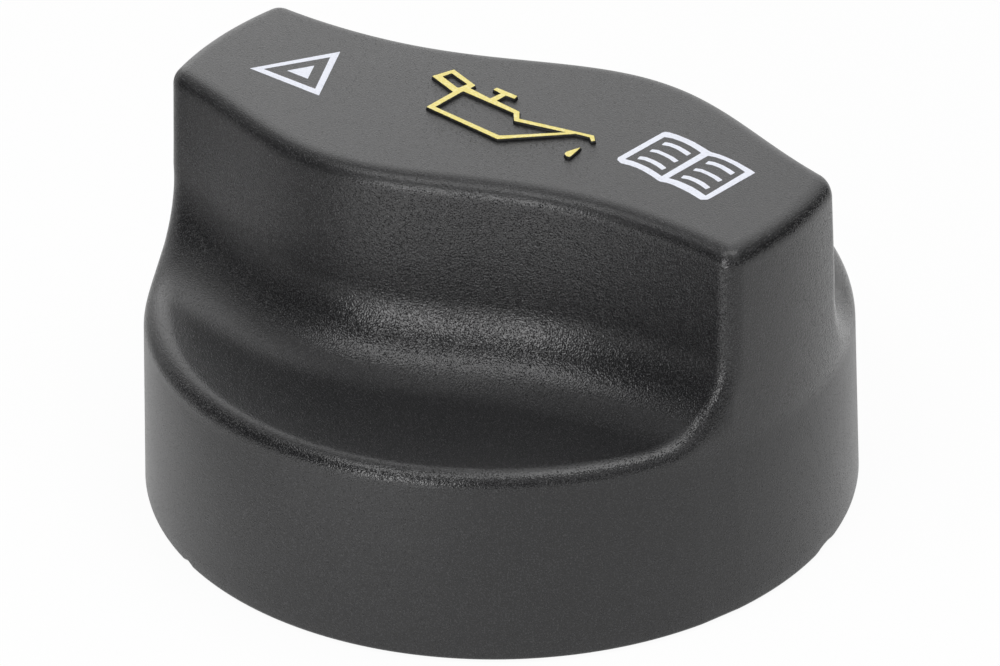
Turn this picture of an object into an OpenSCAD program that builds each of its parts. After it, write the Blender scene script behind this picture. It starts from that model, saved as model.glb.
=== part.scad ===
// Oil filler cap for an engine: a hand-turned grip moulding, a bayonet plug and a rubber seal.
// Frame: +Z up, the cap stands on the open edge of its skirt at z = 0, the grip runs along X.

/* [Skirt] */
// Outside diameter at the open edge
skirt_d = 63; // [58:0.5:68]
// Draft of the skirt in degrees, so that it leaves its mould
skirt_draft = 2.1; // [0.5:0.1:4]
// Wall thickness of the moulding
wall = 2.4; // [1.8:0.1:3]
// Height of the lip around the finger recesses
lip_h = 18; // [15:0.1:20]
// Rounding of the lip where it is tightest
lip_r = 1.5; // [0.8:0.1:2]
// Extra rounding of the lip at the end where the palm slides in
lip_r_more = 1.8; // [0:0.1:2.5]
// Rounding of the open edge at the bottom
foot_r = 0.4; // [0.2:0.1:0.8]

/* [Grip] */
// Height of the grip at its two ends
grip_h = 34.1; // [30:0.1:38]
// How far the top is crowned above its ends
grip_crown = 0.55; // [0:0.05:1.5]
// Width of the grip across its middle
grip_mid_w = 25.2; // [20:0.2:28]
// Width of the grip at its two ends
grip_end_w = 16.2; // [13:0.2:19]
// Sideways swing of the grip's centre line, to one side and then the other
grip_wave = 2.6; // [0:0.1:4]
// How far that swing leans towards the middle of the grip
grip_wave_lean = 0.4; // [0:0.05:0.6]
// Draft of the grip's walls in degrees
grip_draft = 2; // [0.5:0.5:4]
// Rounding of the grip's top and corner edges
edge_r = 1.5; // [0.8:0.1:2]

/* [Finger recess] */
// Radius of the sweep from the grip's wall to the floor
sweep_r = 6.6; // [4:0.2:9]
// How far the floor is dished below the lip
dish = 1.2; // [0:0.1:2.5]

/* [Ribs] */
// Thickness of the stiffening ribs
rib_t = 1.4; // [1:0.1:2]
// Spacing of the webs across the grip
web_pitch = 11; // [8:0.5:14]
// Number of short ribs between the skirt and the plug's flange
rib_count = 12; // [6:3:18]
// Number of snap nibs that hold the flange
nib_count = 6; // [3:3:9]
// How far each nib reaches in under the flange
nib_grip = 0.7; // [0.4:0.1:1]
// Width of a nib
nib_w = 5; // [3:0.5:8]
// Height of a nib where it leaves the skirt
nib_root = 2.4; // [1.6:0.1:3]
// Play between the nibs and the flange
nib_play = 0.2; // [0.1:0.05:0.4]

/* [Plug] */
// Wall thickness of the plug
plug_wall = 2.2; // [1.6:0.1:3]
// Height of the plug's nose above the edge of the skirt
nose_z = 1.2; // [0.6:0.1:3]
// Free height between the floor's underside and the flange
flange_room = 1.2; // [0.6:0.1:2]
// Thickness of the flange
flange_t = 2; // [1.4:0.1:2.4]
// Free space round the flange
flange_gap = 0.5; // [0.3:0.1:1]
// Number of bayonet lugs
lug_count = 3; // [2:1:4]
// How far the lugs stand out of the plug
lug_reach = 4; // [3:0.5:5]
// Length of each lug round the plug, in degrees
lug_arc = 38; // [20:1:60]
// Thickness of a lug at its middle
lug_t = 3; // [2:0.1:4]
// Free height between the lugs and the seal, where the neck's ledge goes
ledge_room = 2.7; // [2:0.1:4]
// Ramp of the lugs in degrees, which pulls the seal tight
lug_ramp = 4; // [0:0.5:8]
// Number of stiffening ribs inside the plug
plug_ribs = 6; // [3:1:12]

/* [Seal] */
// Thickness of the seal
seal_t = 2.4; // [1.6:0.1:3]
// How far the seal's rim lies inside the flange's
seal_inset = 3.1; // [2:0.1:5]
// Width of the seal, from the plug's body to the seal's rim
seal_w = 8; // [6:0.1:10]
// Play between the seal and the plug's body
seal_play = 0.05; // [0:0.05:0.3]
// Height of the two lips moulded on its underside
seal_lip = 0.5; // [0.2:0.1:0.8]
// Distance between those two lips as a share of the seal's width
seal_lip_share = 0.4; // [0.3:0.05:0.6]

/* [Hidden] */
skirt_r = skirt_d / 2;
slope = tan(skirt_draft);
top_r = skirt_r - slope * grip_h;
flange_top = lip_h - dish - wall - flange_room;
flange_z = flange_top - flange_t;
flange_r = skirt_r - slope * flange_top - wall - flange_gap;
plug_r = flange_r - seal_inset - seal_w;
lug_r = plug_r + lug_reach;
lug_z = flange_z - seal_t - ledge_room - lug_t / 2;
draft_off = tan(grip_draft) * (grip_h - lip_h);
sweep_end = draft_off + sweep_r;
mark_angles = [10, 130, 250];

// Width and centre line of the grip along its length, t runs from -1 to 1
function half_w(t) = (grip_mid_w + grip_end_w + (grip_mid_w - grip_end_w) * cos(180 * t)) / 4;
function swing(t) = grip_wave * sin(180 * t) + grip_wave_lean * sin(360 * t);
function front_y(x) = swing(x / top_r) - half_w(x / top_r);
function front_slope(x) = (front_y(x + 0.1) - front_y(x - 0.1)) / 0.2;

// Rounded meeting of two surfaces, given the distances to them: outside corner and inside corner
function round_out(a, b, r) = min(-r, max(a, b)) + norm([max(r + a, 0), max(r + b, 0)]);
function round_in(a, b, r) = max(r, min(a, b)) - norm([max(r - a, 0), max(r - b, 0)]);
function clamp01(v) = min(1, max(0, v));

// Distance outside the front wall of the grip, and the same for the back by a half turn
function off_front(x, y) = (front_y(x) - y) / sqrt(1 + pow(front_slope(x), 2));
function off_grip(x, y, z) =
    max(off_front(x, y), off_front(-x, -y)) - tan(grip_draft) * (grip_h - z);
function floor_z(r) = lip_h - dish * (1 - pow(r / skirt_r, 2));

// The lip is rounder towards one end of each recess
function lip_round(x, y, z) =
    lip_r + lip_r_more * pow(clamp01(x * sign(y) / skirt_r), 2) * clamp01((lip_h + sweep_r - z) / sweep_r);

// Distance outside the moulding's skin, negative inside it
function skin(x, y, z) =
    let (
        r = norm([x, y]),
        side = r - skirt_r + slope * z,
        top = z - grip_h - grip_crown * (1 - pow(x / top_r, 2)),
        recess = round_in(off_grip(x, y, z), z - floor_z(r), sweep_r)
    )
    round_out(round_out(side, top, edge_r), recess, lip_round(x, y, z));

// Point on the line from o towards p that lies at the given depth under the skin
function seek(o, d, lo, hi, depth, n) =
    let (m = (lo + hi) / 2, p = o + d * m)
    n == 0 ? p
    : skin(p.x, p.y, p.z) + depth > 0 ? seek(o, d, lo, m, depth, n - 1)
    : seek(o, d, m, hi, depth, n - 1);
function on_skin(o, p, depth) =
    let (d = (p - o) / norm(p - o), l = norm(p - o))
    seek(o, d, l * 0.15, l + sweep_r, depth, 15);

// Stations along the front wall, closer together near the corners, then round the end face
wall_steps = 46;
end_steps = 14;
core_z = 6;
core_share = 0.74;
function corner_x(x = 0.95 * top_r, n = 8) =
    n == 0 ? x : corner_x(sqrt(pow(top_r, 2) - pow(front_y(x), 2)), n - 1);
end_x = corner_x();
end_a = atan2(-front_y(end_x), end_x);
function ease(s) = s * (1.32 - 0.32 * s * s);
function reach(a, n) =
    let (b = a * n, r = skirt_r - slope * lip_h)
    -b + sqrt(max(0, b * b + r * r - a * a));
function wall_station(s) =
    let (x = end_x * ease(s), m = front_slope(x), n = [m, -1] / sqrt(1 + m * m), a = [x, front_y(x)])
    [a, n, max(0, reach(a, n)), x * core_share];
function end_station(s) =
    let (a = end_a * ease(s), p = top_r * [cos(a), sin(a)])
    [p, [cos(a), sin(a)], 0, end_x * core_share];
half_stations = concat(
    [for (i = [0:wall_steps]) wall_station(2 * i / wall_steps - 1)],
    [for (i = [1:end_steps - 1]) end_station(2 * i / end_steps - 1)]
);

// Target points down one station: [distance out from the wall, height]
function floor_at(st, out) = floor_z(min(skirt_r, norm(st[0] + st[1] * out)));
function rows(st) =
    let (
        l = st[2],
        base = floor_at(st, min(l, sweep_end)),
        room = max(0, l - sweep_end),
        tight = 1 - clamp01(room / 4),
        lip_in = min(lip_r, 0.3 * room)
    )
    concat(
        [for (k = [-1.5, -0.75, -0.3, 0]) [k * edge_r, grip_h]],
        [for (k = [0.35, 0.8, 1.4]) [0, grip_h - k * edge_r]],
        [for (k = [0.3, 0.65]) [draft_off * k, grip_h + (base + sweep_r - grip_h) * k]],
        [for (a = [0:15:90]) [min(l, draft_off + sweep_r * (1 - cos(a))), base + sweep_r * (1 - sin(a))]],
        [for (k = [1, 2]) let (out = min(l, sweep_end + 0.3 * k * room))
            [out, floor_at(st, out) - tight * k / 4]],
        [for (a = [90:-30:0]) let (out = l - lip_in * (1 - cos(a)))
            [out, floor_at(st, out) - tight * 3 / 4 - lip_r * (1 - sin(a))]],
        [for (k = [1.8, 3]) [l, lip_h - tight * 3 / 4 - k * lip_r]],
        [for (k = [0.48, 0.24]) [l, lip_h * k]],
        [[l, foot_r]]
    );
function void_rows(st) =
    let (l = st[2], end = min(l, sweep_end), base = floor_at(st, end), s = sweep_r, d = draft_off)
    [[-2.5 * edge_r, grip_h], [-edge_r, grip_h], [0, grip_h], [0, grip_h - 1.3 * edge_r],
        [0.3 * d, grip_h - 3.3 * edge_r], [d, base + s], [min(l, d + 0.13 * s), base + 0.5 * s],
        [min(l, d + 0.5 * s), base + 0.13 * s], [end, base], [max(end, l - 2 * lip_r), lip_h - 0.4 * lip_r],
        [l, lip_h - 0.8 * lip_r], [l, lip_h - 2.7 * lip_r], [l, lip_h / 2], [l, lip_h / 9]];
function on_skirt(q, z, depth) =
    let (r = (skirt_r - slope * z - depth) / norm(q))
    [q.x * r, q.y * r, z];
function station_point(st, row, depth) =
    let (
        o = [st[3], 0, core_z],
        inwards = [st[3], 0] - st[0],
        q = st[0] + (row[0] < 0 ? inwards / norm(inwards) * -row[0] : st[1] * row[0])
    )
    row[1] < 0.6 * lip_h ? on_skirt(q, row[1], depth) : on_skin(o, [q.x, q.y, row[1]], depth);
function turn(p) = [-p.x, -p.y, p.z];

// Joins rings of points, one list from crest to foot per station, with a line of points along the crest
module lofted(ring, foot, crest, turns) {
    n = len(ring);
    m = len(ring[0]);
    points = concat([for (st = ring) each st], foot, crest, [[0, 0, foot[0].z]]);
    crest_at = n * m + n;
    function id(i, j) = j < m ? (i % n) * m + j : n * m + i % n;
    function crest_id(i) = crest_at + turns[i % n];
    sides = [for (i = [0:n - 1], j = [0:m - 1])
        each [[id(i, j), id(i + 1, j), id(i, j + 1)], [id(i + 1, j), id(i + 1, j + 1), id(i, j + 1)]]];
    cap = [for (i = [0:n - 1]) let (p = crest_id(i), q = crest_id(i + 1))
        each p == q ? [[p, id(i + 1, 0), id(i, 0)]] : [[p, id(i + 1, 0), id(i, 0)], [p, q, id(i + 1, 0)]]];
    under = [for (i = [0:n - 1]) [id(i, m), id(i + 1, m), len(points) - 1]];
    polyhedron(points, concat(sides, cap, under), convexity = 8);
}

// A closed body that follows the skin at a depth under it, down to foot_z
module body_at(depth, foot_z, foot_radius, every) {
    picked = [for (i = [0:every:len(half_stations) - 1]) half_stations[i]];
    walls = wall_steps / every;
    half = [for (st = picked)
        [for (row = (depth == 0 ? rows(st) : void_rows(st))) station_point(st, row, depth)]];
    ring = concat(half, [for (st = half) [for (p = st) turn(p)]]);
    m = len(half[0]);
    foot = [for (st = ring) let (a = atan2(st[m - 1].y, st[m - 1].x))
        [foot_radius * cos(a), foot_radius * sin(a), foot_z]];
    crest = [for (i = [0:walls]) let (x = picked[i][3])
        [x, 0, grip_h + grip_crown * (1 - pow(x / top_r, 2)) - depth]];
    n = len(half);
    turns = concat([for (i = [0:n - 1]) min(i, walls)], [for (i = [0:n - 1]) max(walls - i, 0)]);
    lofted(ring, foot, crest, turns);
}

module outer_body() body_at(0, 0, skirt_r - foot_r, 1);
module inner_void() body_at(wall, -1, skirt_r - wall + slope, 2);

// Webs under the grip and short ribs over the flange, both standing on the flange's top
module webs() {
    long = 2 * skirt_r;
    for (x = [-2:2]) translate([x * web_pitch - rib_t / 2, -skirt_r, flange_top]) cube([rib_t, long, grip_h]);
    translate([-skirt_r, -rib_t / 2, flange_top]) cube([long, rib_t, grip_h]);
}
module short_rib() {
    hull() {
        translate([flange_r - 3, -rib_t / 2, flange_top]) cube([1, rib_t, lip_h - flange_top - wall / 2]);
        translate([skirt_r - wall - 0.5, -rib_t / 2, flange_top]) cube([1, rib_t, lip_h - flange_top - wall]);
    }
}
module nib() {
    tip = nib_root / 3;
    translate([0, -nib_w / 2, flange_z - nib_play]) hull() {
        translate([flange_r - nib_grip, 0, -tip]) cube([0.2, nib_w, tip]);
        translate([skirt_r - wall - 0.4, 0, -nib_root]) cube([0.6, nib_w, nib_root]);
    }
}
// Small gate marks left round the open edge
module edge_marks() {
    for (a = mark_angles) rotate(a) translate([skirt_r, 0, 0]) cube([1, 1.4, 0.7], center = true);
}

module grip_shell() {
    color([0.23, 0.23, 0.24]) difference() {
        union() {
            difference() {
                outer_body();
                inner_void();
            }
            intersection() {
                union() {
                    webs();
                    for (i = [0:rib_count - 1]) rotate((i + 0.5) * 360 / rib_count) short_rib();
                    for (i = [0:nib_count - 1]) rotate(i * 360 / nib_count) nib();
                }
                body_at(wall / 2, -1, skirt_r - wall / 2, 2);
            }
        }
        edge_marks();
    }
}

// One lug: a block of a ring, its top tilted so that turning the cap draws the plug down
module lug() {
    intersection() {
        rotate(-lug_arc / 2) rotate_extrude(angle = lug_arc)
            polygon([[plug_r - 0.5, lug_z - lug_t], [plug_r - 0.5, lug_z + lug_t],
                [lug_r, lug_z + lug_t], [lug_r, lug_z - lug_t / 2 + 0.5], [lug_r - 0.8, lug_z - lug_t]]);
        translate([plug_r, 0, lug_z]) rotate([lug_ramp, 0, 0])
            translate([-lug_r, -lug_r, -lug_t / 2]) cube([2 * lug_r, 2 * lug_r, lug_t]);
    }
}
module bayonet_plug() {
    color([0.16, 0.16, 0.17]) {
        difference() {
            rotate_extrude() polygon([
                [0, flange_z], [plug_r - plug_wall, flange_z], [plug_r - plug_wall, nose_z + 0.6],
                [plug_r - plug_wall + 0.6, nose_z], [plug_r - 0.8, nose_z], [plug_r, nose_z + 0.8],
                [plug_r, flange_z], [flange_r, flange_z], [flange_r, flange_top - 0.4],
                [flange_r - 0.4, flange_top], [0, flange_top]
            ]);
            translate([0, 0, flange_top - 0.6]) cylinder(r = plug_r - plug_wall, h = 1);
        }
        for (i = [0:lug_count - 1]) rotate(i * 360 / lug_count + 90) lug();
        for (i = [0:plug_ribs - 1]) rotate((i + 0.5) * 360 / plug_ribs)
            translate([plug_r - plug_wall - 1.2, -rib_t / 2, nose_z + 1.5])
                cube([1.4, rib_t, flange_z - nose_z - 1.4]);
    }
}

// Flat rubber seal with two small lips, gripping the root of the plug
module seal_ring() {
    inner = plug_r + seal_play;
    outer = flange_r - seal_inset;
    low = flange_z - seal_t;
    mid = (inner + outer) / 2;
    color([0.1, 0.1, 0.1]) {
        rotate_extrude() polygon([
            [inner, low + 0.3], [inner + 0.3, low], [outer - 0.5, low], [outer, low + 0.5],
            [outer, flange_z], [inner, flange_z]
        ]);
        for (side = [-1, 1]) rotate_extrude()
            translate([mid + side * (outer - inner) * seal_lip_share / 2, low]) circle(r = seal_lip, $fn = 24);
    }
}

grip_shell();
bayonet_plug();
seal_ring();
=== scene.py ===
import bmesh
import bpy
import math
import numpy as np
from mathutils import Matrix, Vector


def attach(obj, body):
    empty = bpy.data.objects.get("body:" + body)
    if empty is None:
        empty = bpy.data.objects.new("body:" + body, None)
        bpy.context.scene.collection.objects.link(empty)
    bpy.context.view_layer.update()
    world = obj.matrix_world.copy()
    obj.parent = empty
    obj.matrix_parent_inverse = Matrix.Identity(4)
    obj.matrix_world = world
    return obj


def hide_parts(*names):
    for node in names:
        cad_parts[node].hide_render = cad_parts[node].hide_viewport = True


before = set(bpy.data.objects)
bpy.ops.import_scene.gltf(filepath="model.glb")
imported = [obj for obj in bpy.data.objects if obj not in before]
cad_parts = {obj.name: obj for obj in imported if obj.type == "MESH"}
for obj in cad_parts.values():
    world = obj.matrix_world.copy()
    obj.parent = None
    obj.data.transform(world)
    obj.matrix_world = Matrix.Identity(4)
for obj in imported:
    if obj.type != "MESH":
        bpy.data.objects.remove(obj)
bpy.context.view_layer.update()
mm = 0.001
print("cap: frame loaded")

# The moulding's sizes, in mm and degrees, as in the part's source
shell = {
    "skirtRadius": 31.5,
    "skirtDraft": 2.1,
    "wall": 2.4,
    "lipHeight": 18.0,
    "lipRound": 1.5,
    "lipRoundMore": 1.8,
    "footRound": 0.4,
    "gripHeight": 34.1,
    "crown": 0.55,
    "middleWidth": 25.2,
    "endWidth": 16.2,
    "wave": 2.6,
    "waveLean": 0.4,
    "gripDraft": 2.0,
    "edgeRound": 1.5,
    "sweep": 6.6,
    "dish": 1.2,
    "footNicks": ((7.8, 3.2, 0.22), (126.0, 1.6, 0.25), (246.0, 1.6, 0.25)),   # degrees round, width, depth
    "nickRamp": 0.3,        # share of its width in which a nick reaches its depth
}
# How its mesh is laid out: rows from the crest down the outside and back up inside, one column a station
cage = {
    "wallSteps": 150,
    "endSteps": 44,
    "seekSteps": 20,        # halvings on the way to the skin
    "merge": 0.002,
    "cornerGuess": 29.0,
    "cornerRounds": 8,
    "slopeStep": 0.05,
    "crowding": 0.32,       # how much closer the stations stand towards the ends
    "coreShare": 0.74,      # how far the core line reaches along the grip
    "coreHeight": 6.0,
    "crestSteps": 12,
    "top": (-1.5, -0.75, -0.3, 0),          # times the edge's rounding, as are the next
    "edge": (0.35, 0.8, 1.4),
    "wall": (0.3, 0.65),                    # shares of the way down the wall
    "sweep": (0, 15, 30, 45, 60, 75, 90),   # degrees round the sweep
    "floor": (1, 2),                        # times the share below
    "floorShare": 0.3,
    "tightRoom": 4,                         # narrower floors have their rows lowered
    "tightDrop": 0.25,
    "lip": (90, 60, 30, 0),                 # degrees round the lip
    "skirt": (1.8, 3),                      # times the lip's rounding
    "steps": {"top": 3, "edge": 3, "wall": 4, "sweep": 4, "floor": 6, "lip": 5, "skirt": 4},  # rows up to each one
    "skirtSteps": 9,
    "skirtTop": 0.58,                       # share of the lip's height
    "footTurns": (22.5, 45, 67.5, 90),
    "footRims": ((0.2, 0.0), (0.06, 0.06)),     # width past the wall, height
    "innerSkirt": (0.2, 2.0, 5.0),
    "innerLip": (2.7, 0.8),                 # times the lip's rounding, as is the next
    "innerFloor": (2, 0.4),
    "innerSweep": ((0.5, 0.13), (0.13, 0.5)),
    "innerEdge": ((0.3, 3.3), (0, 1.3), (0, 0)),
    "innerTop": (-1, -2.5),
    "innerCrest": (0.75, 0.5, 0.25, 0.0),
    "nearest": 0.15,        # where the search starts, as a share of the way to the row
}
skirtSlope = math.tan(math.radians(shell["skirtDraft"]))
gripSlope = math.tan(math.radians(shell["gripDraft"]))
topRadius = shell["skirtRadius"] - skirtSlope * shell["gripHeight"]


class Wire:
    # A node output that adds, multiplies and compares like a number
    def __init__(self, tree, socket):
        self.tree, self.socket = tree, socket

    def maths(self, kind, *others, clamp=False):
        node = self.tree.nodes.new("ShaderNodeMath")
        node.operation = kind
        node.use_clamp = clamp
        for plug, value in zip(node.inputs, (self, *others)):
            if isinstance(value, Wire):
                self.tree.links.new(value.socket, plug)
            else:
                plug.default_value = value
        return Wire(self.tree, node.outputs[0])

    def __add__(self, other): return self.maths("ADD", other)
    def __sub__(self, other): return self.maths("SUBTRACT", other)
    def __mul__(self, other): return self.maths("MULTIPLY", other)
    def __truediv__(self, other): return self.maths("DIVIDE", other)
    def __neg__(self): return self.maths("MULTIPLY", -1.0)
    def sin(self): return self.maths("SINE")
    def cos(self): return self.maths("COSINE")
    def root(self): return self.maths("SQRT")
    def sign(self): return self.maths("SIGN")
    def square(self): return self.maths("MULTIPLY", self)
    def above(self, other): return self.maths("MAXIMUM", other)
    def below(self, other): return self.maths("MINIMUM", other)
    def clamped(self): return self.maths("ADD", 0.0, clamp=True)
    def under(self, whole): return self.maths("POWER", -1.0) * whole    # the whole divided by this


def roundOut(a, b, r):
    # Two surfaces that meet in a rounded outside corner
    return a.above(b).below(-r) + ((a + r).above(0.0).square() + (b + r).above(0.0).square()).root()


def roundIn(a, b, r):
    # The same for an inside corner
    return a.below(b).above(r) - ((r - a).above(0.0).square() + (r - b).above(0.0).square()).root()


def newTree(name, inputs, kind="GeometryNodeTree"):
    tree = bpy.data.node_groups.new(name, kind)
    if kind == "GeometryNodeTree":
        tree.is_modifier = True
        tree.interface.new_socket("Geometry", in_out="INPUT", socket_type="NodeSocketGeometry")
        tree.interface.new_socket("Geometry", in_out="OUTPUT", socket_type="NodeSocketGeometry")
    for label, value in inputs.items():
        kindOf = "NodeSocketInt" if isinstance(value, int) else "NodeSocketFloat"
        socket = tree.interface.new_socket(label, in_out="INPUT", socket_type=kindOf)
        socket.default_value = value
    source = tree.nodes.new("NodeGroupInput")
    wires = {label: Wire(tree, source.outputs[label]) for label in inputs}
    return tree, source, wires


def runTree(thing, tree, values):
    # Sets the inputs by identifier, evaluates, and leaves a plain mesh
    modifier = thing.modifiers.new(tree.name, "NODES")
    modifier.node_group = tree
    for item in tree.interface.items_tree:
        if item.item_type == "SOCKET" and item.in_out == "INPUT" and item.name in values:
            modifier[item.identifier] = values[item.name]
    bpy.context.view_layer.update()
    graph = bpy.context.evaluated_depsgraph_get()
    plain = bpy.data.meshes.new_from_object(thing.evaluated_get(graph))
    thing.modifiers.clear()
    thing.data = plain
    return thing


def meshThing(name, points, faces):
    data = bpy.data.meshes.new(name)
    data.from_pydata([tuple(p) for p in points], [], [tuple(f) for f in faces])
    data.update()
    thing = bpy.data.objects.new(name, data)
    bpy.context.scene.collection.objects.link(thing)
    return thing


# How the mould's grain is drawn, with scales in domes
grainShape = {
    "domeFall": 5.0,
    "uneven": (1.1, 0.3),           # scale and share of the unevenness between the domes
    # The specks give light spots in the colour: random tone, and on the shell partly painted glints
    "speckScale": 1.3,
    "speckEdge": 0.62,
    "speckContrast": 6.0,
    "cloudScale": 0.02,
    "bandEdges": (700.0, 900.0),    # how sharply the deeper grain starts and ends, per metre of height
    "steepFrom": 0.98,
    "steepContrast": 3.2,
}


def grainGroup():
    # Spark-eroded grain of a mould: small domes of chance height, light specks in the colour and a slow cloud; on the
    # shell the light specks are partly painted glints.
    # Between two heights and on steep faces only, the domes have their full depth.
    tree, source, w = newTree("sparkGrain", {"Grain size": 0.25, "Fleck share": 0.1, "Plain grain": 1.0,
                                             "Coarse from": 0.0, "Coarse to": 0.0}, "ShaderNodeTree")
    for label in ("Height", "Fleck", "Cloud", "Coarse"):
        tree.interface.new_socket(label, in_out="OUTPUT", socket_type="NodeSocketFloat")
    where = tree.nodes.new("ShaderNodeTexCoord")
    perMetre = w["Grain size"].under(1 / mm)

    def noise(scale, detail):
        node = tree.nodes.new("ShaderNodeTexNoise")
        tree.links.new(where.outputs["Object"], node.inputs["Vector"])
        tree.links.new(scale.socket, node.inputs["Scale"])
        node.inputs["Detail"].default_value = detail
        return Wire(tree, node.outputs["Fac"])

    domes = tree.nodes.new("ShaderNodeTexVoronoi")
    tree.links.new(where.outputs["Object"], domes.inputs["Vector"])
    tree.links.new(perMetre.socket, domes.inputs["Scale"])
    split = tree.nodes.new("ShaderNodeSeparateColor")
    tree.links.new(domes.outputs["Color"], split.inputs[0])
    chance = Wire(tree, split.outputs[0])
    dome = (Wire(tree, domes.outputs["Distance"]).square() * -grainShape["domeFall"] + 1.0).clamped().square()
    axes = tree.nodes.new("ShaderNodeSeparateXYZ")
    tree.links.new(where.outputs["Object"], axes.inputs[0])
    z = Wire(tree, axes.outputs[2])
    low, high = grainShape["bandEdges"]
    coarse = ((z - w["Coarse from"]) * low).clamped() * ((w["Coarse to"] - z) * high).clamped()
    upright = tree.nodes.new("ShaderNodeSeparateXYZ")
    tree.links.new(where.outputs["Normal"], upright.inputs[0])
    steep = -Wire(tree, upright.outputs[2]) + grainShape["steepFrom"]
    coarse = coarse * (steep * grainShape["steepContrast"]).clamped()
    grain = w["Plain grain"] + (-w["Plain grain"] + 1.0) * coarse
    unevenScale, unevenShare = grainShape["uneven"]
    height = (noise(perMetre * unevenScale, 0.0) * unevenShare + dome * chance.square()) * grain
    # Light specks in the colour: random tone of the moulding, and on the shell partly painted glints
    speckAndGlint = noise(perMetre * grainShape["speckScale"], 1.0) + w["Fleck share"] - grainShape["speckEdge"]
    speckAndGlint = (speckAndGlint * grainShape["speckContrast"]).clamped()
    cloud = noise(perMetre * grainShape["cloudScale"], 2.0)
    out = tree.nodes.new("NodeGroupOutput")
    for label, wire in (("Height", height), ("Fleck", speckAndGlint), ("Cloud", cloud), ("Coarse", coarse)):
        tree.links.new(wire.socket, out.inputs[label])
    return tree


sparkGrain = grainGroup()


def grainedPlastic(name, look):
    # In a look, grain is the size of one dome in mm and relief its height as a share of that
    material = bpy.data.materials.new(name)
    material.use_nodes = True
    tree = material.node_tree
    bsdf = tree.nodes["Principled BSDF"]
    group = tree.nodes.new("ShaderNodeGroup")
    group.node_tree = sparkGrain
    group.inputs["Grain size"].default_value = look["grain"]
    group.inputs["Fleck share"].default_value = look["fleckShare"]
    # The speck colour mixed into the base colour: random tone, and on the shell also painted glints
    mix = tree.nodes.new("ShaderNodeMix")
    mix.data_type = "RGBA"
    mix.inputs[6].default_value = (*look["colour"], 1)
    mix.inputs[7].default_value = (*look["fleckAndGlintColour"], 1)
    tree.links.new(group.outputs["Fleck"], mix.inputs[0])
    tree.links.new(mix.outputs[2], bsdf.inputs["Base Color"])
    rough = Wire(tree, group.outputs["Cloud"]) * look["roughSwing"] + (look["roughness"] - look["roughSwing"] / 2)
    if "coarse" in look:
        group.inputs["Plain grain"].default_value = look["plainGrain"]
        group.inputs["Coarse from"].default_value = look["coarse"][0] * mm
        group.inputs["Coarse to"].default_value = look["coarse"][1] * mm
        rough = rough + Wire(tree, group.outputs["Coarse"]) * (look["coarseRoughness"] - look["roughness"])
    tree.links.new(rough.socket, bsdf.inputs["Roughness"])
    bump = tree.nodes.new("ShaderNodeBump")
    bump.inputs["Strength"].default_value = look["bump"]
    bump.inputs["Distance"].default_value = look["grain"] * mm * look["relief"]
    tree.links.new(group.outputs["Height"], bump.inputs["Height"])
    tree.links.new(bump.outputs["Normal"], bsdf.inputs["Normal"])
    bsdf.inputs["Specular IOR Level"].default_value = look["specular"]
    return material


shellPlastic = grainedPlastic("shellPlastic", {
    "colour": (0.010, 0.010, 0.0106),
    # Light specks a little paler than the plastic, partly painted glints
    "fleckAndGlintColour": (0.038, 0.038, 0.04),
    "roughness": 0.34,
    "coarseRoughness": 0.19,
    "roughSwing": 0.05,
    "grain": 0.155,
    "relief": 0.8,
    "plainGrain": 0.5,
    "coarse": (15.5, 34.0),     # heights in mm between which the grain is at its full depth
    "fleckShare": 0.1,
    "bump": 1.0,
    "specular": 0.5,
})
plugPlastic = grainedPlastic("plugPlastic", {
    "colour": (0.018, 0.018, 0.019),
    "fleckAndGlintColour": (0.03, 0.03, 0.032),
    "roughness": 0.36,
    "roughSwing": 0.1,
    "grain": 0.5,
    "relief": 0.75,
    "fleckShare": 0.05,
    "bump": 0.12,
    "specular": 0.5,
})
sealRubber = grainedPlastic("sealRubber", {
    "colour": (0.012, 0.012, 0.012),
    "fleckAndGlintColour": (0.02, 0.02, 0.02),
    "roughness": 0.6,
    "roughSwing": 0.16,
    "grain": 0.8,
    "relief": 0.75,
    "fleckShare": 0.05,
    "bump": 0.2,
    "specular": 0.35,
})
# The shell's plastic made darker, with less shine: painted shade on the sides of the raised can
shadedReliefPlastic = grainedPlastic("shadedReliefPlastic", {
    "colour": (0.008, 0.008, 0.008),
    "fleckAndGlintColour": (0.02, 0.02, 0.02),
    "roughness": 0.5,
    "roughSwing": 0.1,
    "grain": 0.3,
    "relief": 0.75,
    "fleckShare": 0.05,
    "bump": 0.2,
    "specular": 0.25,
})
foilYellow = grainedPlastic("foilYellow", {
    "colour": (0.79, 0.67, 0.19),
    "fleckAndGlintColour": (0.86, 0.77, 0.33),
    "roughness": 0.38,
    "roughSwing": 0.12,
    "grain": 0.3,
    "relief": 0.75,
    "fleckShare": 0.12,
    "bump": 0.15,
    "specular": 0.5,
})
inkWhite = grainedPlastic("inkWhite", {
    "colour": (0.81, 0.83, 0.91),
    "fleckAndGlintColour": (0.72, 0.74, 0.82),
    "roughness": 0.5,
    "roughSwing": 0.1,
    "grain": 0.3,
    "relief": 0.75,
    "fleckShare": 0.08,
    "bump": 0.12,
    "specular": 0.4,
})
print("cap: materials made")


skinValues = {
    "Skirt radius": shell["skirtRadius"] * mm, "Skirt slope": skirtSlope,
    "Lip height": shell["lipHeight"] * mm, "Lip round": shell["lipRound"] * mm,
    "Lip round more": shell["lipRoundMore"] * mm, "Grip height": shell["gripHeight"] * mm,
    "Crown": shell["crown"] * mm, "Middle width": shell["middleWidth"] * mm,
    "End width": shell["endWidth"] * mm, "Wave": shell["wave"] * mm, "Wave lean": shell["waveLean"] * mm,
    "Grip slope": gripSlope, "Edge round": shell["edgeRound"] * mm, "Sweep": shell["sweep"] * mm,
    "Dish": shell["dish"] * mm, "Top radius": topRadius * mm, "Seek steps": cage["seekSteps"],
}


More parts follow.
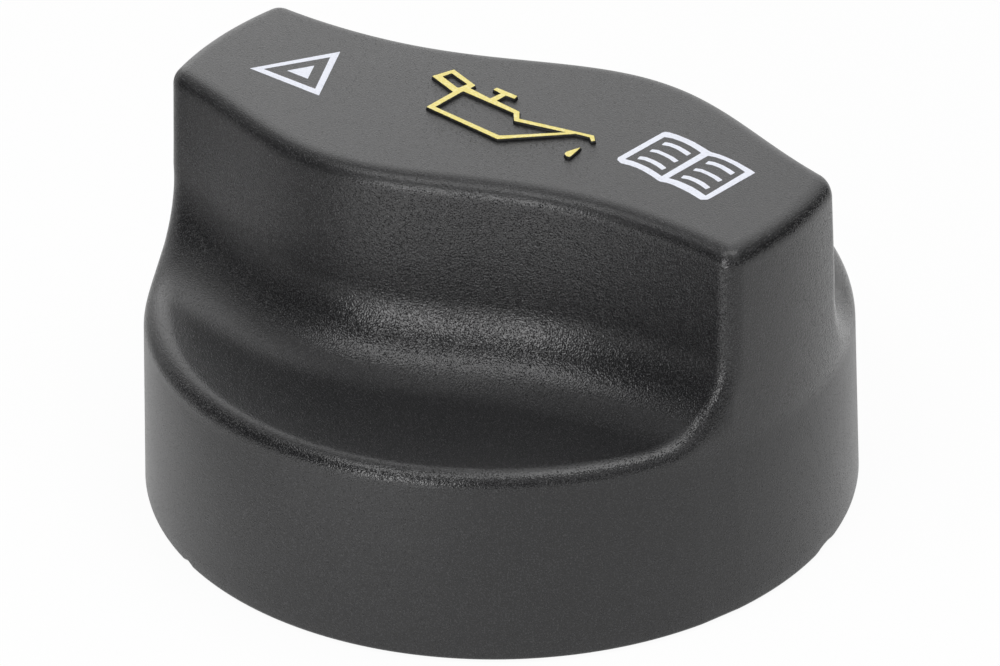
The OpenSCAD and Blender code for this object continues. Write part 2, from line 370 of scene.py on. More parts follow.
def skinTree():
    # Moves each point along its ray until it lies on the moulded skin, by halving
    tree, source, w = newTree("mouldedSkin", skinValues)
    spot = tree.nodes.new("GeometryNodeInputPosition")
    split = tree.nodes.new("ShaderNodeSeparateXYZ")
    tree.links.new(spot.outputs[0], split.inputs[0])
    x, y, z = (Wire(tree, split.outputs[i]) for i in range(3))

    def stored(name, kind):
        node = tree.nodes.new("GeometryNodeInputNamedAttribute")
        node.data_type = kind
        node.inputs["Name"].default_value = name
        return Wire(tree, node.outputs["Attribute"])

    radial = (x.square() + y.square()).root()
    side = radial - w["Skirt radius"] + w["Skirt slope"] * z
    along = x / w["Top radius"]
    top = z - w["Grip height"] - w["Crown"] * (-along.square() + 1.0)

    # The grip's walls: half a cosine for the width, two sines for the centre line
    angle = along * math.pi
    wide = w["Middle width"] + w["End width"]
    taper = w["Middle width"] - w["End width"]
    half = (wide + taper * angle.cos()) * 0.25
    swing = w["Wave"] * angle.sin() + w["Wave lean"] * (angle * 2.0).sin()
    swingSlope = (w["Wave"] * angle.cos() + w["Wave lean"] * (angle * 2.0).cos() * 2.0) * math.pi
    halfSlope = taper * angle.sin() * (math.pi / 4)
    leanFront = (swingSlope + halfSlope) / w["Top radius"]
    leanBack = (swingSlope - halfSlope) / w["Top radius"]
    front = (swing - half - y) / (leanFront.square() + 1.0).root()
    back = (y - swing - half) / (leanBack.square() + 1.0).root()
    grip = front.above(back) - w["Grip slope"] * (w["Grip height"] - z)
    floor = w["Lip height"] - w["Dish"] * (-(radial / w["Skirt radius"]).square() + 1.0)
    recess = roundIn(grip, z - floor, w["Sweep"])
    end = (x * y.sign() / w["Skirt radius"]).clamped().square()
    low = ((w["Lip height"] + w["Sweep"] - z) / w["Sweep"]).clamped()
    lip = w["Lip round"] + w["Lip round more"] * end * low
    skin = roundOut(roundOut(side, top, w["Edge round"]), recess, lip)
    outwards = -(skin + stored("depth", "FLOAT")).sign()

    repeatIn = tree.nodes.new("GeometryNodeRepeatInput")
    repeatOut = tree.nodes.new("GeometryNodeRepeatOutput")
    repeatIn.pair_with_output(repeatOut)
    repeatOut.repeat_items.new("FLOAT", "Share")
    tree.links.new(w["Seek steps"].socket, repeatIn.inputs["Iterations"])
    tree.links.new(source.outputs["Geometry"], repeatIn.inputs["Geometry"])
    repeatIn.inputs["Share"].default_value = 0.5
    share = Wire(tree, repeatIn.outputs["Share"])
    move = tree.nodes.new("ShaderNodeVectorMath")
    move.operation = "SCALE"
    tree.links.new(stored("ray", "FLOAT_VECTOR").socket, move.inputs[0])
    tree.links.new((outwards * share * stored("reach", "FLOAT")).socket, move.inputs["Scale"])
    shift = tree.nodes.new("GeometryNodeSetPosition")
    tree.links.new(repeatIn.outputs["Geometry"], shift.inputs["Geometry"])
    tree.links.new(move.outputs[0], shift.inputs["Offset"])
    tree.links.new(shift.outputs[0], repeatOut.inputs["Geometry"])
    tree.links.new((share * 0.5).socket, repeatOut.inputs["Share"])

    merge = tree.nodes.new("GeometryNodeMergeByDistance")
    merge.inputs["Distance"].default_value = cage["merge"] * mm
    smooth = tree.nodes.new("GeometryNodeSetShadeSmooth")
    finish = tree.nodes.new("GeometryNodeSetMaterial")
    finish.inputs["Material"].default_value = shellPlastic
    out = tree.nodes.new("NodeGroupOutput")
    chain = [repeatOut, merge, smooth, finish, out]
    for a, b in zip(chain, chain[1:]):
        tree.links.new(a.outputs["Geometry"], b.inputs["Geometry"])
    return tree


mouldedSkin = skinTree()


def frontY(x):
    t = x / topRadius
    half = (shell["middleWidth"] + shell["endWidth"]
            + (shell["middleWidth"] - shell["endWidth"]) * np.cos(math.pi * t)) / 4
    return shell["wave"] * np.sin(math.pi * t) + shell["waveLean"] * np.sin(2 * math.pi * t) - half


def ease(s):
    crowding = cage["crowding"]
    return s * (1 + crowding - crowding * s * s)


def halfStations():
    # Point on the wall, the way out of it, room to the lip, and the place on the core line
    cornerX = cage["cornerGuess"]
    for _ in range(cage["cornerRounds"]):
        cornerX = math.sqrt(topRadius ** 2 - frontY(cornerX) ** 2)
    cornerA = math.atan2(-frontY(cornerX), cornerX)
    lipRadius = shell["skirtRadius"] - skirtSlope * shell["lipHeight"]
    rows = []
    step, core = cage["slopeStep"], cage["coreShare"]
    for i in range(cage["wallSteps"] + 1):
        x = cornerX * ease(2 * i / cage["wallSteps"] - 1)
        lean = (frontY(x + step) - frontY(x - step)) / (2 * step)
        out = np.array([lean, -1.0]) / math.hypot(lean, 1)
        at = np.array([x, float(frontY(x))])
        b = at @ out
        room = -b + math.sqrt(max(0.0, b * b + lipRadius ** 2 - at @ at))
        rows.append((at, out, max(0.0, room), x * core))
    for i in range(1, cage["endSteps"]):
        a = cornerA * ease(2 * i / cage["endSteps"] - 1)
        out = np.array([math.cos(a), math.sin(a)])
        rows.append((topRadius * out, out, 0.0, cornerX * core))
    return rows


def floorZ(r):
    return shell["lipHeight"] - shell["dish"] * (1 - (r / shell["skirtRadius"]) ** 2)


def floorAt(station, out):
    at, way = station[0], station[1]
    return floorZ(min(shell["skirtRadius"], float(np.linalg.norm(at + way * out))))


draftOff = gripSlope * (shell["gripHeight"] - shell["lipHeight"])
sweepEnd = draftOff + shell["sweep"]


def spread(keys):
    # Points between the key ones: each key is (distance out, height, steps up to it)
    rows = [keys[0][:2]]
    for before, after in zip(keys, keys[1:]):
        rows += [(before[0] + (after[0] - before[0]) * k / after[2],
                  before[1] + (after[1] - before[1]) * k / after[2]) for k in range(1, after[2] + 1)]
    return rows


def outerKeys(station):
    room = station[2]
    base = floorAt(station, min(room, sweepEnd))
    s, e, h, g, lip = (shell[k] for k in ("sweep", "edgeRound", "lipHeight", "gripHeight", "lipRound"))
    steps = cage["steps"]
    rest = max(0.0, room - sweepEnd)
    drop = (1 - min(1.0, rest / cage["tightRoom"])) * cage["tightDrop"]
    lipDrop = drop * (len(cage["floor"]) + 1)
    lipIn = min(lip, cage["floorShare"] * rest)
    keys = [(k * e, g, steps["top"]) for k in cage["top"]]
    keys += [(0, g - k * e, steps["edge"]) for k in cage["edge"]]
    keys += [(draftOff * k, g + (base + s - g) * k, steps["wall"]) for k in cage["wall"]]
    for a in cage["sweep"]:
        turn = math.radians(a)
        out = min(room, draftOff + s * (1 - math.cos(turn)))
        keys.append((out, base + s * (1 - math.sin(turn)), steps["sweep"]))
    for k in cage["floor"]:
        out = min(room, sweepEnd + cage["floorShare"] * k * rest)
        keys.append((out, floorAt(station, out) - drop * k, steps["floor"]))
    for a in cage["lip"]:
        turn = math.radians(a)
        out = room - lipIn * (1 - math.cos(turn))
        keys.append((out, floorAt(station, out) - lipDrop - lip * (1 - math.sin(turn)), steps["lip"]))
    keys += [(room, h - lipDrop - k * lip, steps["skirt"]) for k in cage["skirt"]]
    return spread(keys)


def innerKeys(station):
    # The hollow's rows follow the same parts of the skin from the skirt up to the crest, only coarser
    room = station[2]
    end = min(room, sweepEnd)
    base = floorAt(station, end)
    s, e, h, g, lip = (shell[k] for k in ("sweep", "edgeRound", "lipHeight", "gripHeight", "lipRound"))
    keys = [(room, h / 2, 1)]
    keys += [(room, h - k * lip, 3) for k in cage["innerLip"]]
    back, down = cage["innerFloor"]
    keys += [(max(end, room - back * lip), h - down * lip, 3), (end, base, 3)]
    keys += [(min(room, draftOff + out * s), base + up * s, 2) for out, up in cage["innerSweep"]]
    keys.append((draftOff, base + s, 2))
    keys += [(draftOff * out, g - down * e, 2) for out, down in cage["innerEdge"]]
    keys += [(k * e, g, 2) for k in cage["innerTop"]]
    return spread(keys)


def footLift(way):
    # How far the foot edge is lifted, which makes the three small nicks
    turn = math.degrees(math.atan2(way[1], way[0]))
    lift = 0.0
    for place, width, depth in shell["footNicks"]:
        apart = math.radians(abs((turn - place + 180) % 360 - 180)) * shell["skirtRadius"]
        room = (width / 2 - apart) / (shell["nickRamp"] * width)
        lift = max(lift, depth * min(1.0, max(0.0, room)))
    return lift


def buildCage():
    # Closed cage of the moulding: crest, outside, foot, inside and inner crest, one column a station
    half = halfStations()
    stations = half + [(-at, -out, room, -core) for at, out, room, core in half]
    coreZ, crestSteps, skirtSteps = cage["coreHeight"], cage["crestSteps"], cage["skirtSteps"]
    r0, foot, wall = shell["skirtRadius"], shell["footRound"], shell["wall"]
    points = []
    for station in stations:
        at, out, room, core = station
        column = []
        middle = np.array([core, 0.0])
        inwards = (middle - at) / np.linalg.norm(middle - at)

        def place(key):
            # Rows on the top run towards the core line, the others straight out of the wall
            return at - inwards * key if key < 0 else at + out * key

        def row(p, z, depth, fromX=core, fromZ=coreZ, still=False):
            # Its ray starts at fromX, 0, fromZ, and the point ends at this depth under the skin unless it stays still
            column.append((p[0], p[1], z, fromX, 0.0, fromZ, depth, still))

        outer = outerKeys(station)
        rim = place(outer[0][0])
        for k in range(crestSteps):
            row(middle + (rim - middle) * k / crestSteps, shell["gripHeight"], 0.0)
        for o, z in outer:
            row(place(o), z, 0.0)
        p = at + out * room
        way = p / np.linalg.norm(p)
        lowest = shell["lipHeight"] * cage["skirtTop"]
        lift = footLift(way)
        for k in range(skirtSteps):
            z = lowest + (foot + lift - lowest) * k / (skirtSteps - 1)
            row(way * r0, z, 0.0, 0.0, z)
        edge = r0 - skirtSlope * foot
        for turn in cage["footTurns"]:
            a = math.radians(turn)
            row(way * (edge - foot * (1 - math.cos(a))), foot * (1 - math.sin(a)) + lift, 0.0, 0.0, 0.0, True)
        for wider, z in cage["footRims"]:
            row(way * (r0 - wall + wider), z, 0.0, 0.0, 0.0, True)
        for z in cage["innerSkirt"]:
            row(way * r0, z, wall, 0.0, z)
        inner = innerKeys(station)
        for o, z in inner:
            row(place(o), z, wall)
        rim = place(inner[-1][0])
        for k in cage["innerCrest"]:
            row(middle + (rim - middle) * k, shell["gripHeight"], wall)
        points += column
    table = np.array(points, float)
    target, origin, depth, still = table[:, :3], table[:, 3:6], table[:, 6], table[:, 7] > 0.5
    way = target - origin
    far = np.linalg.norm(way, axis=1)
    far[far < 1e-9] = 1
    ray = way / far[:, None]
    low, high = cage["nearest"] * far, far + shell["sweep"]
    start = np.where(still[:, None], target, origin + ray * ((low + high) / 2)[:, None])
    reach = np.where(still, 0, (high - low) / 2)
    n, m = len(stations), len(points) // len(stations)
    faces = [(i * m + j, i * m + j + 1, (i + 1) % n * m + j + 1, (i + 1) % n * m + j)
             for i in range(n) for j in range(m - 1)]
    return start, faces, {"ray": ray, "reach": reach * mm, "depth": depth * mm}


def skinned(name, start, faces, stored):
    # A mesh with a ray, a reach and a depth at each point, moved on to the moulded skin
    thing = meshThing(name, start * mm, faces)
    for label, values in stored.items():
        kind = "FLOAT_VECTOR" if values.ndim == 2 else "FLOAT"
        attribute = thing.data.attributes.new(label, kind, "POINT")
        attribute.data.foreach_set("vector" if values.ndim == 2 else "value", values.astype(np.float32).ravel())
    runTree(thing, mouldedSkin, skinValues)
    for label in stored:
        thing.data.attributes.remove(thing.data.attributes[label])
    return thing


gripSkin = skinned("gripSkin", *buildCage())
print("cap: moulding", len(gripSkin.data.polygons), "faces")


def topZ(x):
    return shell["gripHeight"] + shell["crown"] * (1 - (x / topRadius) ** 2)


# Webs, short ribs and snap nibs inside the moulding, and the flange they hold
inside = {
    "ribThickness": 1.4,
    "webPitch": 11.0,
    "websEachWay": 2,
    "webSteps": 60,
    "webTop": 1.2,          # depth under the skin at which the webs end, inside the wall
    "webSpare": 2.0,        # how far above the grip the search for it starts
    "ribCount": 12,
    "ribLength": 3.0,
    "ribSunk": 0.5,         # how far the ribs reach into the skirt's wall
    "nibCount": 6,
    "nibWidth": 5.0,
    "nibRoot": 2.4,
    "nibGrip": 0.7,
    "nibPlay": 0.2,
    "nibSunk": 0.4,
    "flangeRoom": 1.2,
    "flangeThickness": 2.0,
    "flangeGap": 0.5,
}
flangeTop = shell["lipHeight"] - shell["dish"] - shell["wall"] - inside["flangeRoom"]
flangeUnder = flangeTop - inside["flangeThickness"]
skirtInside = shell["skirtRadius"] - skirtSlope * flangeTop - shell["wall"]
flangeRadius = skirtInside - inside["flangeGap"]


def webPlate(start, end):
    # A standing plate on the flange, its top edge moved up to the skin later
    steps = inside["webSteps"]
    a, b = np.array(start, float), np.array(end, float)
    along = (b - a) / np.linalg.norm(b - a)
    side = np.array([-along[1], along[0]]) * inside["ribThickness"] / 2
    points, rising = [], []
    for k in range(steps + 1):
        at = a + (b - a) * k / steps
        for way, up in ((-1, False), (1, False), (1, True), (-1, True)):
            points.append((*(at + side * way), flangeTop))
            rising.append(up)
    faces = [(4 * k + c, 4 * k + (c + 1) % 4, 4 * k + 4 + (c + 1) % 4, 4 * k + 4 + c)
             for k in range(steps) for c in range(4)]
    faces += [(3, 2, 1, 0), tuple(4 * steps + c for c in range(4))]
    return points, faces, rising


def buildWebs():
    limit = skirtInside + shell["wall"] / 2
    plates = [webPlate((-limit, 0), (limit, 0))]
    for k in range(-inside["websEachWay"], inside["websEachWay"] + 1):
        x = k * inside["webPitch"]
        y = math.sqrt(limit ** 2 - x ** 2)
        plates.append(webPlate((x, -y), (x, y)))
    points, faces, rising = [], [], []
    for p, f, up in plates:
        faces += [tuple(i + len(points) for i in face) for face in f]
        points += p
        rising += up
    start, rising = np.array(points, float), np.array(rising)
    reach = (shell["gripHeight"] + inside["webSpare"] - flangeTop) / 2
    start[rising, 2] += reach
    ray = np.where(rising[:, None], (0.0, 0.0, 1.0), (0.0, 0.0, 0.0))
    depth = np.full(len(start), inside["webTop"] * mm)
    return start, faces, {"ray": ray, "reach": rising * reach * mm, "depth": depth}


innerWebs = skinned("innerWebs", *buildWebs())
innerWebs.data.shade_flat()


def ringTree():
    # Repeats the piece round the turning axis
    tree, source, w = newTree("repeatRound", {"Count": 6, "First angle": 0.0})
    spots = tree.nodes.new("GeometryNodePoints")
    tree.links.new(w["Count"].socket, spots.inputs["Count"])
    index = Wire(tree, tree.nodes.new("GeometryNodeInputIndex").outputs[0])
    angle = (index / w["Count"]) * (2 * math.pi) + w["First angle"]
    turn = tree.nodes.new("ShaderNodeCombineXYZ")
    tree.links.new(angle.socket, turn.inputs["Z"])
    copies = tree.nodes.new("GeometryNodeInstanceOnPoints")
    tree.links.new(spots.outputs[0], copies.inputs["Points"])
    tree.links.new(source.outputs["Geometry"], copies.inputs["Instance"])
    tree.links.new(turn.outputs[0], copies.inputs["Rotation"])
    plain = tree.nodes.new("GeometryNodeRealizeInstances")
    finish = tree.nodes.new("GeometryNodeSetMaterial")
    finish.inputs["Material"].default_value = shellPlastic
    out = tree.nodes.new("NodeGroupOutput")
    tree.links.new(copies.outputs[0], plain.inputs[0])
    tree.links.new(plain.outputs[0], finish.inputs["Geometry"])
    tree.links.new(finish.outputs[0], out.inputs["Geometry"])
    return tree


repeatRound = ringTree()


def wedge(name, inner, outer, width):
    # Block between two standing edges, each given as (radius, low, high)
    points = [(r, y * width / 2, z) for r, low, high in (inner, outer)
              for y, z in ((-1, low), (1, low), (1, high), (-1, high))]
    faces = [(0, 3, 2, 1), (4, 5, 6, 7), (0, 1, 5, 4), (1, 2, 6, 5), (2, 3, 7, 6), (3, 0, 4, 7)]
    return meshThing(name, np.array(points) * mm, faces)


nibTop = flangeUnder - inside["nibPlay"]
clipNibs = wedge("clipNibs", (flangeRadius - inside["nibGrip"], nibTop - inside["nibRoot"] / 3, nibTop),
                 (skirtInside + inside["nibSunk"], nibTop - inside["nibRoot"], nibTop), inside["nibWidth"])
runTree(clipNibs, repeatRound, {"Count": inside["nibCount"], "First angle": 0.0})
ribTop = shell["lipHeight"] - shell["wall"] / 2
shortRibs = wedge("shortRibs", (flangeRadius - inside["ribLength"], flangeTop, ribTop),
                  (skirtInside + inside["ribSunk"], flangeTop, ribTop - shell["wall"] / 2), inside["ribThickness"])
runTree(shortRibs, repeatRound, {"Count": inside["ribCount"], "First angle": math.pi / inside["ribCount"]})
print("cap: ribs and nibs made")


# Signs on the top, with their outlines in mm on its plan
signs = {
    "canRise": 0.26,
    "canFlare": 0.13,       # how far the relief widens towards its foot
    "foilThickness": 0.03,
    "foilSunk": 0.04,
    "foilInset": 0.02,
    "inkRise": 0.02,
    "sink": 0.15,           # how far the relief and the prints reach down into the moulding
    "cornerRound": 0.07,
    "cornerShare": 0.3,     # of the shorter side, the most that a rounding takes
    "merge": 0.001,
}
canSign = {
    "outline": [(-8.66, 2.65), (-7.78, 4.68), (-4.51, 3.31), (-4.59, 2.65), (-2.1, 2.09), (-1.87, 3.33),
                (-2.82, 3.54), (-2.76, 4.0), (-0.39, 3.73), (-0.33, 3.2), (-1.29, 3.27), (-1.4, 2.06), (1.37, 1.55),
                (2.06, 0.53), (7.3, 1.39), (9.0, 1.69), (9.59, 0.99), (9.3, 0.76), (8.83, 1.24), (7.5, 1.06),
                (3.05, -2.99), (2.56, -3.43), (-5.79, -2.14), (-5.46, 1.31)],
    "handleHole": [(-7.86, 3.09), (-7.55, 4.0), (-5.24, 3.1), (-5.47, 2.2), (-5.6, 2.13)],
    "bodyHole": [(-4.81, 1.88), (1.05, 1.08), (1.88, -0.03), (6.71, 0.82), (2.73, -2.55), (2.33, -2.83),
                 (-5.15, -1.72)],
    "drop": [(9.21, -0.61), (9.3, -1.31), (9.36, -1.96), (9.4, -2.3), (9.32, -2.52), (9.05, -2.55), (8.69, -2.31),
             (8.63, -2.04), (8.7, -1.76), (8.94, -1.16)],
}
bookSign = {
    "outline": [(12.67, -0.23), (12.51, 0.1), (13.17, 5.8), (13.29, 6.05), (13.63, 6.2), (14.39, 6.24), (15.41, 6.16),
                (16.28, 6.03), (16.99, 5.84), (17.72, 5.62), (18.38, 5.43), (19.14, 5.52), (20.15, 5.45), (21.11, 5.31),
                (22.14, 5.06), (22.84, 4.88), (23.3, 4.72), (22.61, -0.88), (22.51, -1.38), (22.04, -1.68),
                (21.51, -1.53), (20.58, -1.28), (19.71, -1.13), (18.85, -1.0), (18.27, -0.99), (17.61, -1.17),
                (17.26, -1.07), (16.49, -0.79), (15.53, -0.52), (14.77, -0.39), (13.99, -0.39), (13.2, -0.51)],
    "page": [(13.12, 0.25), (13.73, 5.33), (14.4, 5.5), (15.38, 5.49), (16.36, 5.32), (17.09, 5.1), (17.79, 4.85),
             (17.27, -0.37), (16.5, -0.09), (15.54, 0.18), (14.8, 0.28), (13.97, 0.35)],
    "lines": [[(14.27, 4.6), (14.81, 4.74), (15.61, 4.71), (16.41, 4.52), (17.14, 4.28), (17.07, 3.75), (16.32, 4.0),
               (15.66, 4.19), (14.95, 4.24), (14.29, 4.05)],
              [(14.06, 2.95), (14.61, 3.14), (15.46, 3.04), (16.24, 2.9), (16.98, 2.63), (16.84, 2.17), (16.16, 2.44),
               (15.46, 2.6), (14.73, 2.68), (14.09, 2.51)],
              [(13.9, 1.38), (14.41, 1.56), (15.22, 1.52), (16.02, 1.35), (16.82, 1.02), (16.69, 0.54), (15.87, 0.85),
               (15.29, 0.99), (14.57, 1.05), (13.95, 0.88)]],
    "pageShift": (4.78, -0.54),
}
turnSign = {
    "outline": [(-23.25, -4.2), (-18.42, 2.45), (-15.1, -5.08)],
    "hole": [(-22.2, -3.68), (-18.55, 1.18), (-16.1, -4.28)],
    "heart": 0.3,           # size of the small filled triangle inside
}


def area(loop):
    x, y = np.array(loop, float).T
    return float(np.sum(x * np.roll(y, -1) - y * np.roll(x, -1)) / 2)


def rounded(loop, r):
    # Cuts each corner with three points of a small arc
    p = np.array(loop, float)
    if area(p) < 0:
        p = p[::-1]
    points = []
    for i in range(len(p)):
        before, after = p[i - 1] - p[i], p[(i + 1) % len(p)] - p[i]
        a, b = np.linalg.norm(before), np.linalg.norm(after)
        t = min(r, signs["cornerShare"] * a, signs["cornerShare"] * b)
        start, end = p[i] + before / a * t, p[i] + after / b * t
        points += [start, (start + end) * 0.25 + p[i] * 0.5, end]
    return np.array(points)


def grown(loop, by):
    # Moves a counter-clockwise loop outwards, with mitred corners
    before, after = loop - np.roll(loop, 1, axis=0), np.roll(loop, -1, axis=0) - loop
    n1 = np.stack([before[:, 1], -before[:, 0]], axis=1) / np.linalg.norm(before, axis=1)[:, None]
    n2 = np.stack([after[:, 1], -after[:, 0]], axis=1) / np.linalg.norm(after, axis=1)[:, None]
    mid = (n1 + n2) / np.linalg.norm(n1 + n2, axis=1)[:, None]
    return loop + mid * (by / np.maximum(0.5, np.sum(mid * n1, axis=1)))[:, None]


def flatSolid(name, solids, holes, low, high, material, inset=0.0, flare=0.0):
    # Fills outlines, less their holes, into a plate that follows the crowned top, its foot wider by the flare
    loops = [(rounded(loop, signs["cornerRound"]), 1) for loop in solids]
    loops += [(rounded(loop, signs["cornerRound"]), -1) for loop in holes]
    loops = [(grown(loop, -inset * side), side) for loop, side in loops]
    curve = bpy.data.curves.new(name, "CURVE")
    curve.dimensions = "2D"
    curve.fill_mode = "BOTH"
    curve.extrude = 0.5
    for loop, side in loops:
        spline = curve.splines.new("POLY")
        spline.points.add(len(loop) - 1)
        for point, (x, y) in zip(spline.points, loop):
            point.co = (x, y, 0, 1)
        spline.use_cyclic_u = True
    holder = bpy.data.objects.new(name + "Curve", curve)
    bpy.context.scene.collection.objects.link(holder)
    bpy.context.view_layer.update()
    data = bpy.data.meshes.new_from_object(holder.evaluated_get(bpy.context.evaluated_depsgraph_get()))
    bpy.data.objects.remove(holder)
    co = np.empty(len(data.vertices) * 3)
    data.vertices.foreach_get("co", co)
    co = co.reshape(-1, 3)
    foot = co[:, 2] < 0
    edge = np.concatenate([loop for loop, side in loops])
    wide = np.concatenate([grown(loop, flare * side) for loop, side in loops])
    nearest = np.argmin(np.linalg.norm(co[foot, None, :2] - edge[None], axis=2), axis=1)
    co[foot, :2] = wide[nearest]
    co[:, 2] = np.where(foot, low, high) + topZ(co[:, 0])
    data.vertices.foreach_set("co", (co * mm).ravel())
    work = bmesh.new()
    work.from_mesh(data)
    bmesh.ops.remove_doubles(work, verts=work.verts, dist=signs["merge"] * mm)
    bmesh.ops.recalc_face_normals(work, faces=work.faces)
    work.to_mesh(data)
    work.free()
    data.materials.clear()
    data.materials.append(material)
    data.name = name
    thing = bpy.data.objects.new(name, data)
    bpy.context.scene.collection.objects.link(thing)
    return thing


rise, film, sink = signs["canRise"], signs["inkRise"], signs["sink"]
canLoops = [canSign["outline"], canSign["drop"]], [canSign["handleHole"], canSign["bodyHole"]]
# The relief's darker plastic is painted shade on its sides
canRelief = flatSolid("canRelief", *canLoops, -sink, rise, shadedReliefPlastic, flare=signs["canFlare"])
canFoil = flatSolid("canFoil", *canLoops, rise - signs["foilSunk"], rise + signs["foilThickness"], foilYellow,
                    inset=signs["foilInset"])


def onRightPage(loop):
    return [(x + bookSign["pageShift"][0], y + bookSign["pageShift"][1]) for x, y in loop]


openBook = flatSolid("openBook", [bookSign["outline"], *bookSign["lines"], *map(onRightPage, bookSign["lines"])],
                     [bookSign["page"], onRightPage(bookSign["page"])], -sink, film, inkWhite)
middle = np.mean(turnSign["outline"], axis=0)
heart = middle + (np.array(turnSign["outline"]) - middle) * turnSign["heart"]
turnMark = flatSolid("turnMark", [turnSign["outline"], heart], [turnSign["hole"]], -sink, film, inkWhite)
print("cap: signs made")


def dress(node, material):
    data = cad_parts[node].data
    data.materials.clear()
    data.materials.append(material)


dress("bayonet_plug", plugPlastic)
dress("seal_ring", sealRubber)
for piece, slotName in ((gripSkin, "shell_plastic"), (innerWebs, "shell_plastic"), (shortRibs, "shell_plastic"),
                        (clipNibs, "shell_plastic"), (canRelief, "shell_plastic"), (canFoil, "symbol_yellow"),
                        (openBook, "symbol_white"), (turnMark, "symbol_white")):
    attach(piece, "root")
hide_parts("grip_shell")


stage = {
    "floor": (0.86, 0.86, 0.86),
    "floorHalf": 3000.0,
    "floorDrop": 0.2,       # keeps the floor just under the foot
    "paperWhite": 0.95,
    "plainLight": 0.28,
    "glossLight": 0.06,
    # Between these radii in mm the floor, as the gloss sees it, begins to carry painted shade on the left and painted
    # light in front
    "floorReach": (48.0, 80.0),
    "darkSide": ((-0.9, -0.43, 0.0), (0.5, 0.9), -0.65),    # direction, cosines between which it fades, change
    "brightSide": ((0.0, -1.0, 0.0), (0.86, 1.0), 0.9),
    "camera": (253.27, -350.9, 271.88),
    "target": (-0.012, 0.053, 13.197),
    "lens": 208.05,
    "sensor": 36,
    "clip": (0.01, 20),
    "roll": -0.962,
    "lampAim": (0, 0, 15),
}


def lobe(tree, direction, way, edge):
    # 1 around one direction, falling softly to 0 between the two cosines
    facing = tree.nodes.new("ShaderNodeVectorMath")
    facing.operation = "DOT_PRODUCT"
    tree.links.new(direction, facing.inputs[0])
    facing.inputs[1].default_value = way
    share = ((Wire(tree, facing.outputs["Value"]) - edge[0]) / (edge[1] - edge[0])).clamped()
    return share.square() * (-share * 2.0 + 3.0)


reach, drop = stage["floorHalf"] * mm, stage["floorDrop"] * mm
floor = meshThing("floor", [(x * reach, y * reach, -drop) for x, y in ((-1, -1), (1, -1), (1, 1), (-1, 1))],
                  [(0, 1, 2, 3)])
paper = bpy.data.materials.new("paper")
paper.use_nodes = True
tree = paper.node_tree
bsdf = tree.nodes["Principled BSDF"]
bsdf.inputs["Base Color"].default_value = (*stage["floor"], 1)
bsdf.inputs["Roughness"].default_value = 0.9
path = tree.nodes.new("ShaderNodeLightPath")
glow = tree.nodes.new("ShaderNodeEmission")
glow.inputs["Color"].default_value = (1, 1, 1, 1)
mixer = tree.nodes.new("ShaderNodeMixShader")
where = tree.nodes.new("ShaderNodeTexCoord")
aim = tree.nodes.new("ShaderNodeVectorMath")
aim.operation = "NORMALIZE"
tree.links.new(where.outputs["Object"], aim.inputs[0])
length = tree.nodes.new("ShaderNodeVectorMath")
length.operation = "LENGTH"
tree.links.new(where.outputs["Object"], length.inputs[0])
near, far = (radius * mm for radius in stage["floorReach"])
inGloss = Wire(tree, path.outputs["Is Glossy Ray"])
away = ((Wire(tree, length.outputs["Value"]) - near) / (far - near)).clamped() * inGloss
# Painted shade on the left and painted light in front, on the floor only as the gloss sees it
dark, bright = (lobe(tree, aim.outputs["Vector"], way, edge) * away * change
                for way, edge, change in (stage["darkSide"], stage["brightSide"]))
tree.links.new((dark + bright + 1.0).socket, glow.inputs["Strength"])
seen = Wire(tree, path.outputs["Is Camera Ray"]).above(inGloss)
seen = seen.above(Wire(tree, path.outputs["Is Transmission Ray"])) * stage["paperWhite"]
tree.links.new(seen.socket, mixer.inputs[0])
tree.links.new(bsdf.outputs[0], mixer.inputs[1])
tree.links.new(glow.outputs[0], mixer.inputs[2])
tree.links.new(mixer.outputs[0], tree.nodes["Material Output"].inputs["Surface"])
floor.data.materials.append(paper)

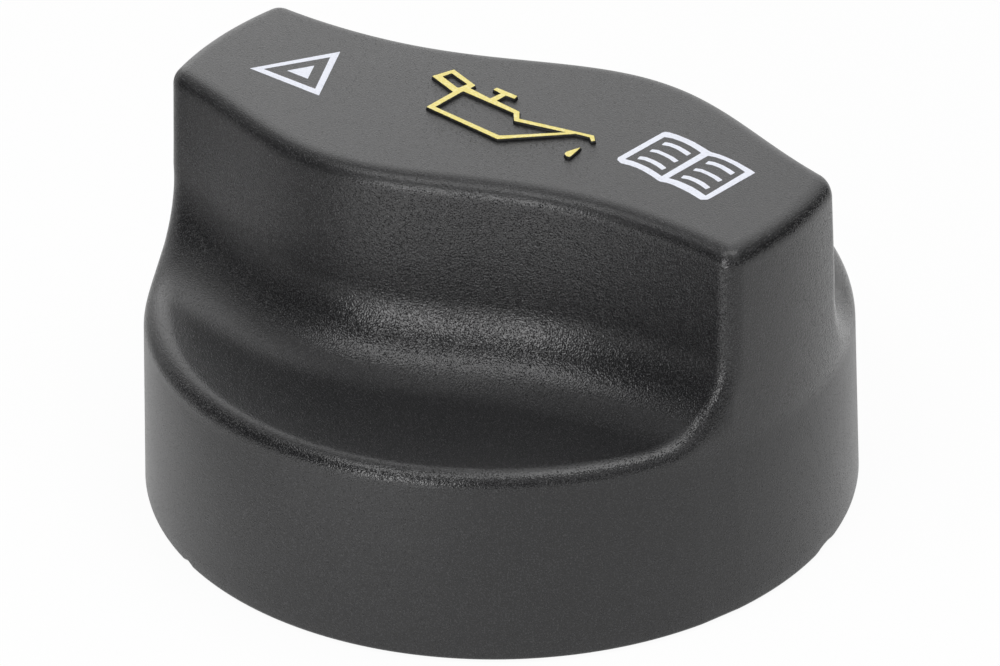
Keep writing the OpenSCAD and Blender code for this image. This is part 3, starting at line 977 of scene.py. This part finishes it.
# The world is white to the camera, even light on the object, and in the gloss dark with a few pale panels
reflected = {
    # name: direction, cosines between which it fades, strength
    "backdrop": ((-0.42, 0.77, 0.48), (0.66, 0.92), 1.5),
    "left": ((-0.906, 0.33, 0.265), (0.8, 1.0), 0.65),
    "leftHigh": ((-0.53, -0.02, 0.848), (0.84, 1.0), 0.4),
    "right": ((0.664, -0.242, 0.707), (0.75, 0.97), 0.7),
}
world = bpy.data.worlds.new("studio")
bpy.context.scene.world = world
world.use_nodes = True
tree = world.node_tree
background = tree.nodes["Background"]
background.inputs["Color"].default_value = (1, 1, 1, 1)
path = tree.nodes.new("ShaderNodeLightPath")
where = tree.nodes.new("ShaderNodeTexCoord")
inGloss = Wire(tree, path.outputs["Is Glossy Ray"])
panels = inGloss * (stage["glossLight"] - stage["plainLight"])
for way, edge, light in reflected.values():
    panels = panels + inGloss * lobe(tree, where.outputs["Generated"], way, edge) * light
seen = Wire(tree, path.outputs["Is Camera Ray"]).above(Wire(tree, path.outputs["Is Transmission Ray"]))
strength = seen * (1 - stage["plainLight"]) + panels + stage["plainLight"]
tree.links.new(strength.socket, background.inputs["Strength"])

softboxes = {
    # name: place in mm from the object, size, power in W, all aimed at the object
    "overhead": {"at": (160, 60, 670), "size": (440, 440), "power": 2.3},
    "overheadFront": {"at": (-90, -330, 590), "size": (320, 260), "power": 1.1},
    "front": {"at": (50, -670, 130), "size": (220, 500), "power": 2.15},
}
for name, box in softboxes.items():
    data = bpy.data.lights.new(name, "AREA")
    data.shape = "RECTANGLE"
    data.size, data.size_y = box["size"][0] * mm, box["size"][1] * mm
    data.energy = box["power"]
    lamp = bpy.data.objects.new(name, data)
    bpy.context.scene.collection.objects.link(lamp)
    lamp.location = Vector(box["at"]) * mm
    lamp.rotation_mode = "QUATERNION"
    lamp.rotation_quaternion = (Vector(stage["lampAim"]) * mm - lamp.location).to_track_quat("-Z", "Y")

cameraData = bpy.data.cameras.new("camera")
cameraData.lens = stage["lens"]
cameraData.sensor_width = stage["sensor"]
cameraData.clip_start, cameraData.clip_end = stage["clip"]
camera = bpy.data.objects.new("camera", cameraData)
bpy.context.scene.collection.objects.link(camera)
eye, target = Vector(stage["camera"]) * mm, Vector(stage["target"]) * mm
level = (target - eye).to_track_quat("-Z", "Y").to_matrix().to_4x4()
camera.matrix_world = Matrix.Translation(eye) @ level @ Matrix.Rotation(math.radians(stage["roll"]), 4, "Z")
bpy.context.scene.camera = camera
bpy.context.scene.view_settings.view_transform = "Standard"
print("cap: stage and camera set")
